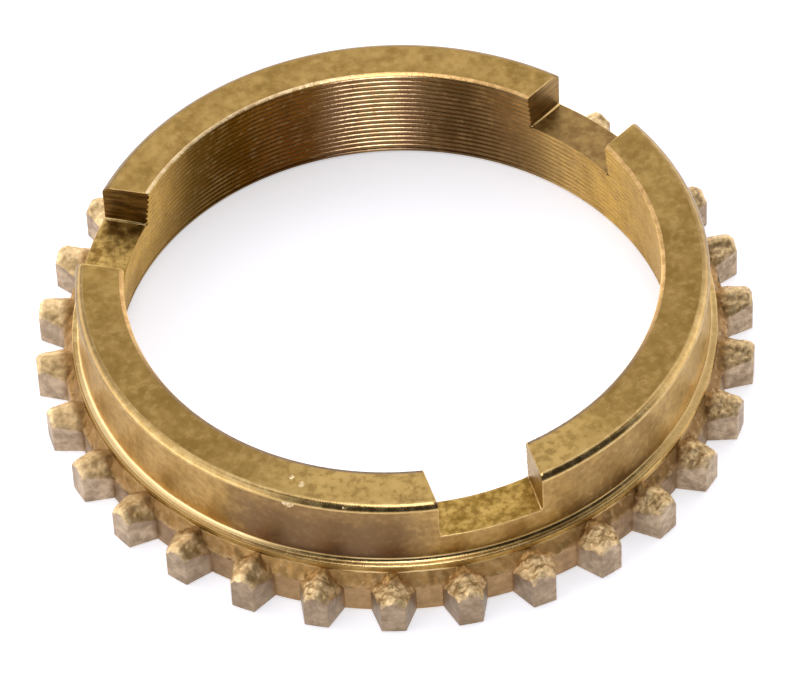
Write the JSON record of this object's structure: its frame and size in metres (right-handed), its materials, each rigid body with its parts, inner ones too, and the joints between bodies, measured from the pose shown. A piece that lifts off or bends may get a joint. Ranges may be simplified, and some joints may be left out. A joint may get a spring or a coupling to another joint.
{
  "type": "synchronizer ring",
  "caption": "Brass gearbox synchronizer ring: conical friction bore, pointed dog teeth round the foot and key slots across the upper face.",
  "frame": {"origin": "centre of the flat tooth-side face, on the ring's axis", "axes": "+Z along the ring's axis from the tooth side to the slotted face, -Y through the middle of one key slot"},
  "size_m": [0.0754, 0.0754, 0.0135],
  "materials": {
    "brass": "satin, turned wall and cone, rough forged teeth"
  },
  "bodies": {
    "root": {"synchronizer_ring": "brass"}
  },
  "joints": []
}
